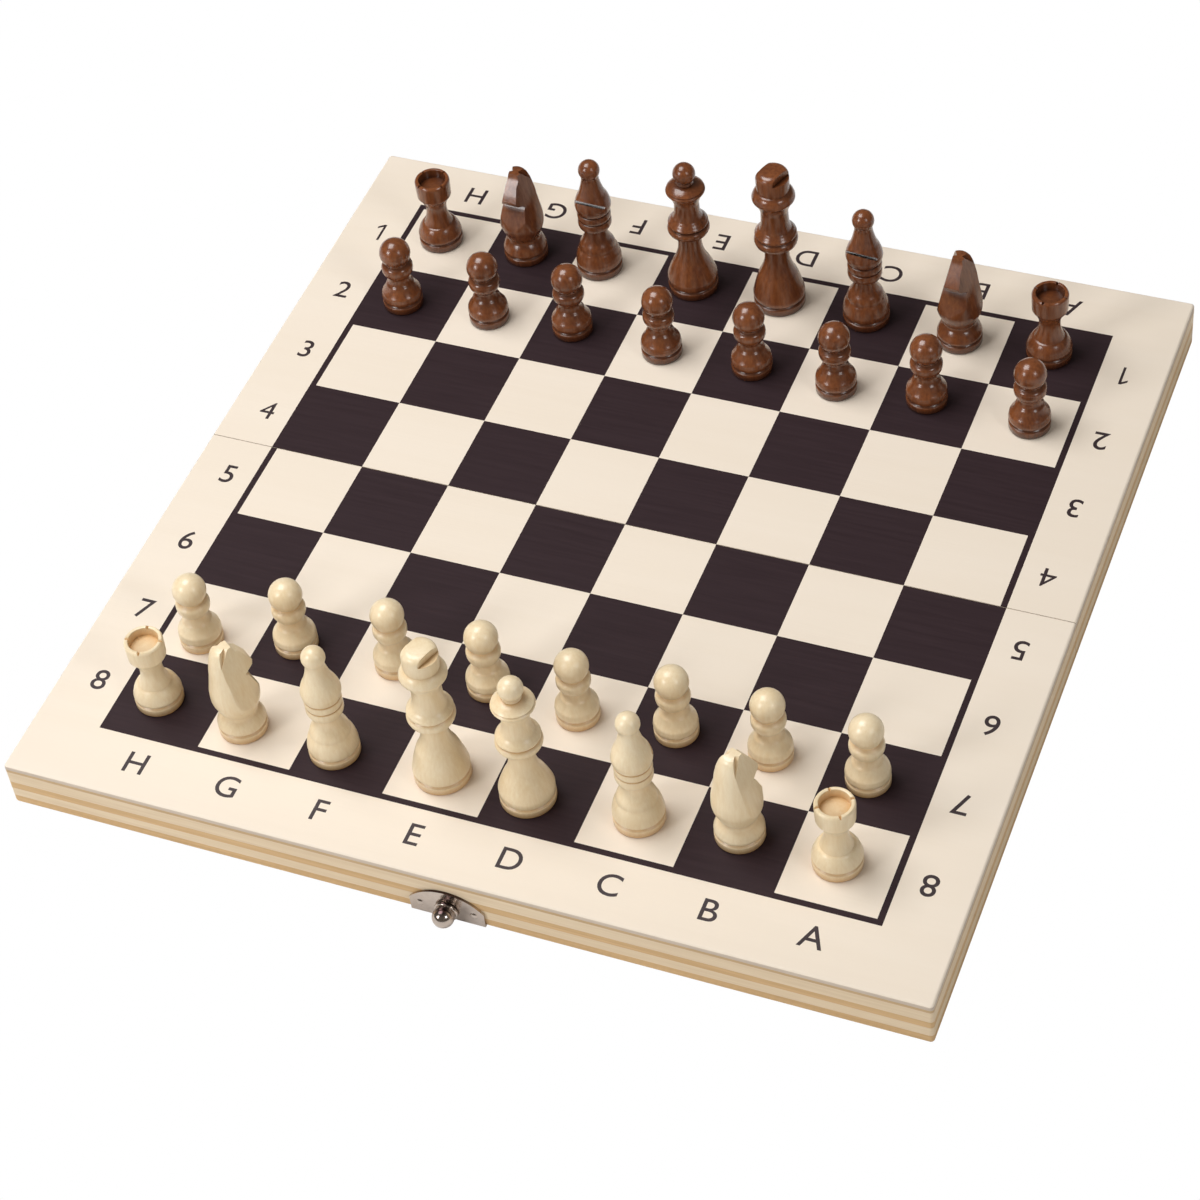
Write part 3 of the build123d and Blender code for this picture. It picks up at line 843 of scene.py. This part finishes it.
def prism(points, low, high):
    """Solid along Y from an outline of (x, z) points."""
    count = len(points)
    corners = [(x, y, z) for y in (low, high) for x, z in points]
    faces = [tuple(range(count)), tuple(reversed(range(count, 2 * count)))]
    faces += [(i, count + i, count + (i + 1) % count, (i + 1) % count) for i in range(count)]
    return mesh_from(corners, faces)


def cut(mesh, cutters):
    """Take the cutters away from a mesh."""
    body = bpy.data.objects.new("cut", mesh)
    scene.collection.objects.link(body)
    tools = []
    for cutter in cutters:
        tool = bpy.data.objects.new("tool", cutter)
        scene.collection.objects.link(tool)
        tools.append(tool)
        modifier = body.modifiers.new("cut", "BOOLEAN")
        modifier.operation = "DIFFERENCE"
        modifier.solver = "EXACT"
        modifier.object = tool
    result = bpy.data.meshes.new_from_object(body.evaluated_get(bpy.context.evaluated_depsgraph_get()))
    for item in (body, *tools):
        bpy.data.objects.remove(item)
    return result


def rook_cuts():
    """Four V-shaped nicks in the rim."""
    half_width, above_rim, lowest = 0.51, 27.3, 26.4
    nicks = []
    for quarter in range(4):
        nick = prism([(-half_width, above_rim), (half_width, above_rim), (0, lowest)], 0, 9)
        nick.transform(Matrix.Rotation(quarter * pi / 2, 4, "Z"))
        nicks.append(nick)
    return nicks


def bishop_cuts():
    """A thin slab laid into the front of the head at a slant."""
    half_slit, slit_height, slant = 0.45, 32.6, radians(-42)
    slab = block((-5.2, -15, -half_slit), (5.2, 15, half_slit))
    slab.transform(Matrix.Translation((6.0 * mm, 0, slit_height * mm)) @ Matrix.Rotation(slant, 4, "Y"))
    return [slab]


def king_cuts():
    """Two blocks that leave a raised bar across the top."""
    offset, half, low, high = 8.8, 5.4, 53.2, 58.8
    return [block((x - half, -2 * half, low), (x + half, 2 * half, high)) for x in (-offset, offset)]


cheek_foot, cheek_top = 13.6, 36.8
foot_half_width, top_half_width = 7.3, 1.9
nose_taper = 0.2


def cheek_half_width(height, along=0.0):
    """Half the head's width at a height and a distance in front of the axis."""
    narrowing = (top_half_width - foot_half_width) * (height - cheek_foot) / (cheek_top - cheek_foot)
    return foot_half_width + narrowing - nose_taper * along


def ear_groove(side):
    """Groove down one cheek, widest and deepest at the top of the head, with its steeper wall in front."""
    above_head, tip_height, depth = 37.54, 30.8, 1.4
    tip, front, deepest, back = -4.1, 2.2, 0.7, -7.0
    tip_face = cheek_half_width(tip_height, tip)
    corners = [
        (tip, side * tip_face, tip_height),
        (front, side * (cheek_half_width(above_head, front) + depth), above_head),
        (back, side * (cheek_half_width(above_head, back) + depth), above_head),
        (deepest, side * (cheek_half_width(above_head, deepest) - depth), above_head),
        (tip, side * (tip_face + depth), tip_height),
    ]
    return mesh_from(corners, [(0, 1, 3), (0, 3, 2), (1, 2, 3), (0, 4, 1), (0, 2, 4), (4, 2, 1)])


def cheek_cut(side):
    """Everything outside one cheek, leaned over and turned in towards the nose."""
    above_head = 37.8
    far_side = side * cutter_reach
    face = [(side * foot_half_width, cheek_foot), (side * cheek_half_width(above_head), above_head)]
    cheek = prism([*face, (far_side, above_head), (far_side, cheek_foot)], -cutter_reach, cutter_reach)
    cheek.transform(Matrix.Rotation(pi / 2, 4, "Z"))
    cheek.transform(Matrix(((1, 0, 0, 0), (-side * nose_taper, 1, 0, 0), (0, 0, 1, 0), (0, 0, 0, 1))))
    return cheek


def knight_cuts():
    """What lies behind the mane, beside the cheeks, above the crown and in front of the face, and the grooves."""
    mane = turned_mesh("mane", mane_outline(), men_materials["white"])
    behind = cut(block((-cutter_reach, -cutter_reach, 17.0), (0, cutter_reach, 38)), [mane])
    above = block((-cutter_reach, -cutter_reach, 36.3), (cutter_reach, cutter_reach, 40))
    brow = [(1.5, 37.8), (1.5, 36.8), (2.4, 34.2), (4.0, 33.0)]
    muzzle = [(6.8, 28.0), (6.3, 26.6), (3.2, 25.0)]
    chest = [(4.2, 24.0), (5.0, 22.0), (7.4, 15.6), (cutter_reach, 15.6), (cutter_reach, 37.8)]
    in_front = prism([*brow, *muzzle, *chest], -cutter_reach, cutter_reach)
    return [behind, cheek_cut(-1), cheek_cut(1), above, in_front, ear_groove(-1), ear_groove(1)]


# %% [markdown]
# The light men are pale wood under a clear satin varnish, and the brown men are the same wood under a dark,
# glossy lacquer. Both get painted shade in their grooves, necks and hollows and where they meet the board,
# and keep the fine rings that the turning tool leaves.

# %% Wood of the men
groove_reach = 5 * mm


def turned_wood(name, light, dark, painted_groove_shade, smoothest):
    material, tree, shader = new_material(name)
    place, wood = figure(tree, (0, 0, 0), 1100, 0.12)
    tone = math(tree, "MULTIPLY_ADD", wood.outputs["Fibre"], 0.6, math(tree, "MULTIPLY", wood.outputs["Drift"], 0.5))
    ramp = add(tree, "ShaderNodeMapRange", From_Min=0.38, From_Max=0.72)
    join(tree, tone, ramp.inputs["Value"])
    # Painted shade: ambient occlusion darkens the colour in grooves, necks and hollows and at the foot by the board,
    # where shade falls.
    hollow = add(tree, "ShaderNodeAmbientOcclusion", samples=8, Distance=groove_reach)
    groove_shade_mask = math(tree, "MULTIPLY", math(tree, "SUBTRACT", 1.0, hollow.outputs["AO"]), 1.5)
    groove_shaded_colour = mix_colour(tree, groove_shade_mask, mix_colour(tree, ramp.outputs[0], light, dark), painted_groove_shade)
    join(tree, groove_shaded_colour, shader.inputs["Base Color"])
    rough = add(tree, "ShaderNodeMapRange", To_Min=smoothest, To_Max=smoothest + 0.12)
    join(tree, wood.outputs["Drift"], rough.inputs["Value"])
    join(tree, rough.outputs[0], shader.inputs["Roughness"])
    shader.inputs["Coat Weight"].default_value = 0.4
    shader.inputs["Coat Roughness"].default_value = smoothest * 0.8
    rings = add(tree, "ShaderNodeTexWave", wave_type="BANDS", bands_direction="Z", Scale=900.0, Distortion=1.5)
    join(tree, place.outputs["Object"], rings.inputs["Vector"])
    height = math(tree, "ADD", math(tree, "MULTIPLY", rings.outputs["Fac"], 0.35), wood.outputs["Fibre"])
    bump(tree, shader, height, 0.00003)
    return material


# Each finish lists its light and dark wood colours, then the colour of the painted shade in grooves and hollows.
pale_wood = ((0.95, 0.81, 0.57), (0.86, 0.68, 0.42), (0.62, 0.35, 0.12))
brown_lacquer = ((0.26, 0.083, 0.026), (0.13, 0.037, 0.012), (0.04, 0.010, 0.004))
men_materials = {
    "white": turned_wood("light turned wood", *pale_wood, 0.28),
    "brown": turned_wood("brown turned wood", *brown_lacquer, 0.18),
}

# %% [markdown]
# Each man stands where its solid does: the middle of the solid's box is its axis, and the box's lowest
# point is the board. Those with a front or a cut are also turned to face the way the photographed one does.

# %% Turn the men and set them up
facing = {
    "white_rook_h": 12,
    "white_knight_g": 56,
    "white_bishop_f": 120,
    "white_king": -20,
    "white_bishop_c": 85,
    "white_knight_b": 68,
    "white_rook_a": 35,
    "brown_rook_h": 60,
    "brown_knight_g": 266,
    "brown_bishop_f": 266,
    "brown_king": -20,
    "brown_bishop_c": 264,
    "brown_knight_b": 265,
    "brown_rook_a": 80,
}
kinds = {
    "pawn": (pawn_outline, None),
    "rook": (rook_outline, rook_cuts),
    "knight": (knight_outline, knight_cuts),
    "bishop": (bishop_outline, bishop_cuts),
    "queen": (queen_outline, None),
    "king": (king_outline, king_cuts),
}
sharp_angle = radians(38)


def master_mesh(kind, material):
    """One man of a kind about its own axis, which its like are copied from."""
    outline, cuts = kinds[kind]
    mesh = turned_mesh(kind, outline(), material)
    if cuts:
        mesh = cut(mesh, cuts())
        mesh.materials.clear()
        mesh.materials.append(material)
    mesh.shade_smooth()
    mesh.set_sharp_from_angle(angle=sharp_angle)
    return mesh


def set_up(name, master):
    """Stand a copy of the master where its solid is."""
    low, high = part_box(name)
    axis = Vector(((low.x + high.x) / 2, (low.y + high.y) / 2, low.z))
    mesh = master.copy()
    mesh.transform(Matrix.Translation(axis) @ Matrix.Rotation(radians(facing.get(name, 0)), 4, "Z"))
    piece = bpy.data.objects.new(f"turned_{name}", mesh)
    scene.collection.objects.link(piece)
    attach(piece, name)
    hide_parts(name)


for colour, material in men_materials.items():
    for kind in kinds:
        master = master_mesh(kind, material)
        names = [name for name in nodes if name.startswith(f"{colour}_{kind}")]
        for name in names:
            set_up(name, master)
        print(colour, kind, len(names), "x", len(master.polygons), "faces")
